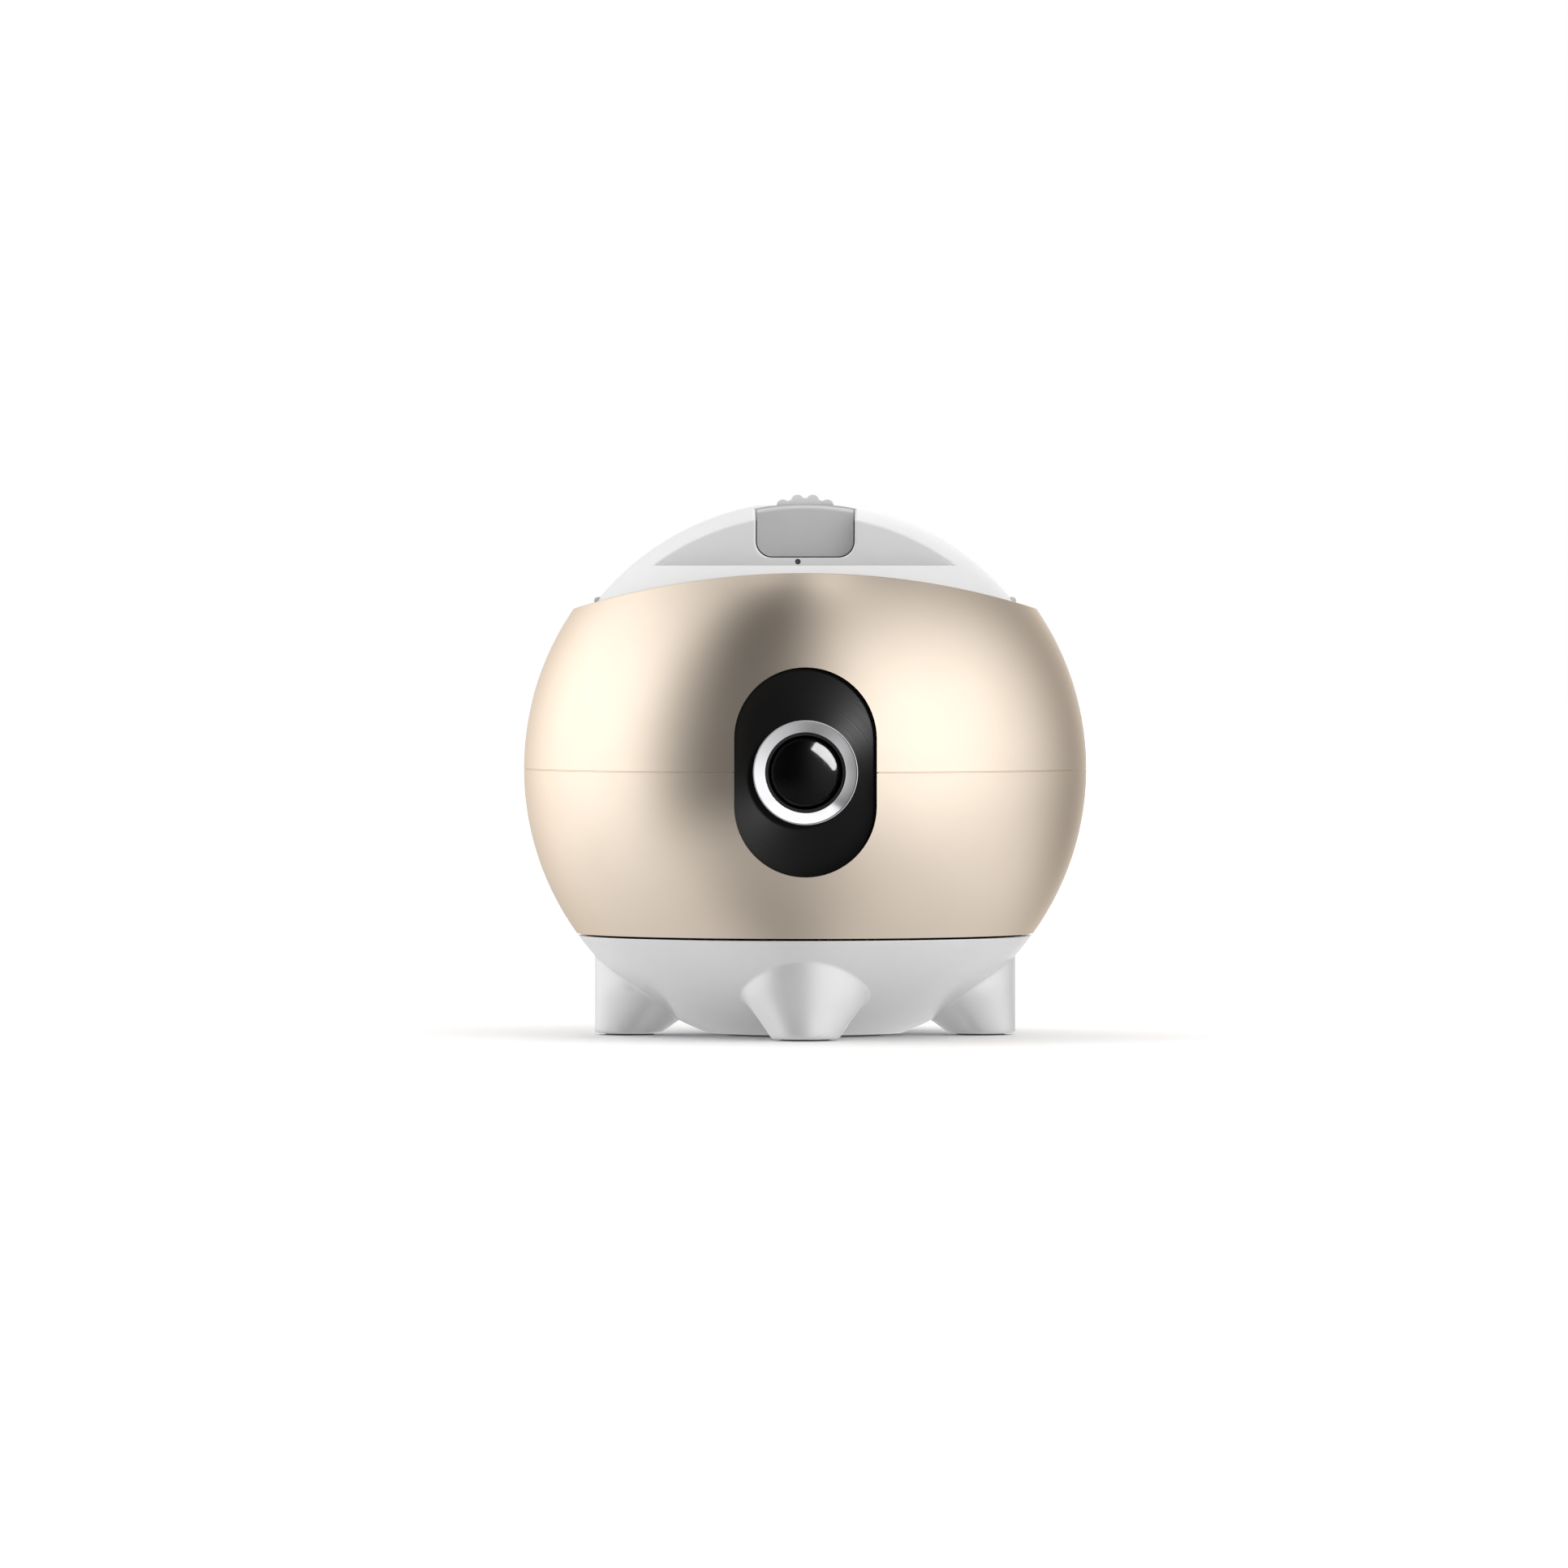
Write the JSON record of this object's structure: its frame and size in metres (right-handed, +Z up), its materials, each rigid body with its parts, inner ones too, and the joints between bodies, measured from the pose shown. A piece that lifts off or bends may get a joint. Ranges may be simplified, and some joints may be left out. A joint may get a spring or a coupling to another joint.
{
  "type": "security camera",
  "caption": "Ball-shaped home security camera that pans on a legged base, with a tilting lens in an upright window and a capped top with a key and thumb wheel.",
  "frame": {"origin": "on the surface it stands on, under the centre of the ball", "axes": "+Z up along the pan axis, -Y out of the lens, +X to the right of someone looking at the lens"},
  "size_m": [0.1, 0.1, 0.096],
  "materials": {
    "champagne_shell": "satin metallic champagne lacquer over moulded plastic",
    "white_plastic": "satin white moulded plastic",
    "cap_plastic": "gloss white moulded plastic",
    "key_grey": "fine matt grey",
    "trim_grey": "matt light grey",
    "window_plate": "black, with a circular spun sheen",
    "ring_metal": "turned and bevelled",
    "lens_glass": "coated optical glass",
    "sensor_glass": "image sensor under its cover glass",
    "black_plastic": "fine spark texture",
    "grey_plastic": "moulded, glass filled",
    "gear_plastic": "natural acetal",
    "circuit_board": "solder resist over glass fibre",
    "motor_can": "zinc-plated can",
    "heat_sink_metal": "extruded, grey anodised",
    "steel": "turned steel",
    "brass": "turned brass",
    "rubber": "matt grey silicone rubber"
  },
  "bodies": {
    "base": {"base_shell": "white_plastic", "foot_pads": "rubber", "base_cover": "grey_plastic", "tripod_insert": "brass", "ballast_ring": "steel", "base_board": "circuit_board", "power_inlet": "black_plastic", "base_deck": "grey_plastic", "pan_gear": "gear_plastic", "thrust_washer": "gear_plastic", "hub_nut": "steel", "deck_screws": "steel"},
    "head": {"turntable": "grey_plastic", "lower_gold_shell": "champagne_shell", "upper_gold_shell": "champagne_shell", "top_cap": "cap_plastic", "recess_strip": "trim_grey", "cap_clips": "trim_grey", "key_switch": "black_plastic", "wheel_bracket": "steel", "wheel_encoder": "black_plastic", "key_board": "circuit_board", "microphone": "steel", "tilt_arm_left": "grey_plastic", "tilt_arm_right": "grey_plastic", "top_frame": "grey_plastic", "pan_motor": "motor_can", "tilt_motor": "motor_can", "main_board": "circuit_board", "processor": "black_plastic", "heat_sink": "heat_sink_metal", "radio_antenna": "circuit_board", "speaker": "black_plastic", "rear_panel": "black_plastic", "rear_board": "circuit_board", "card_socket": "steel", "reset_switch": "black_plastic", "head_screws": "steel"},
    "camera": {"lens_carriage": "window_plate", "trunnion_pins": "steel", "tilt_sector": "gear_plastic", "lens_ring": "ring_metal", "lens_barrel": "black_plastic", "front_lens": "lens_glass", "iris_stop": "black_plastic", "inner_lens": "lens_glass", "infrared_filter": "lens_glass", "lens_holder": "black_plastic", "image_sensor": "sensor_glass", "sensor_board": "circuit_board"},
    "wheel": {"thumb_wheel": "cap_plastic", "wheel_axle": "steel"},
    "key": {"call_key": "key_grey"},
    "reset": {"reset_button": "cap_plastic"},
    "pan_drive": {"pan_pinion": "gear_plastic", "pan_motor_shaft": "steel"},
    "tilt_drive": {"tilt_pinion": "gear_plastic", "tilt_motor_shaft": "steel"}
  },
  "joints": [
    {"name": "pan", "type": "hinge", "parent": "base", "child": "head", "pos_m": [0, 0, 0.0205], "axis": [0, 0, 1], "range_deg": [-170, 170]},
    {"name": "tilt", "type": "hinge", "parent": "head", "child": "camera", "pos_m": [0, 0, 0.0473], "axis": [-1, 0, 0], "range_deg": [-7, 7]},
    {"name": "thumb_wheel_turn", "type": "hinge", "parent": "head", "child": "wheel", "pos_m": [0, 0.0035, 0.0863], "axis": [0, -1, 0], "range_deg": [-135, 135]},
    {"name": "call_key_press", "type": "slide", "parent": "head", "child": "key", "axis": [0, 1, 0], "range_m": [0, 0.001], "stiffness_N_per_m": 1000, "springref_m": -0.0005},
    {"name": "reset_press", "type": "slide", "parent": "head", "child": "reset", "axis": [0, -1, 0], "range_m": [0, 0.0006], "stiffness_N_per_m": 1500, "springref_m": -0.0004},
    {"name": "pan_pinion_turn", "type": "hinge", "parent": "head", "child": "pan_drive", "pos_m": [-0.01485, 0.01485, 0.018], "axis": [0, 0, 1], "range_deg": [-1025, 1025]},
    {"name": "tilt_pinion_turn", "type": "hinge", "parent": "head", "child": "tilt_drive", "pos_m": [0.019, 0.021, 0.0473], "axis": [-1, 0, 0], "range_deg": [-43, 43]}
  ],
  "couplings": [
    {"joint": "pan_pinion_turn", "follows": "pan", "ratio": 6},
    {"joint": "tilt_pinion_turn", "follows": "tilt", "ratio": -6}
  ]
}
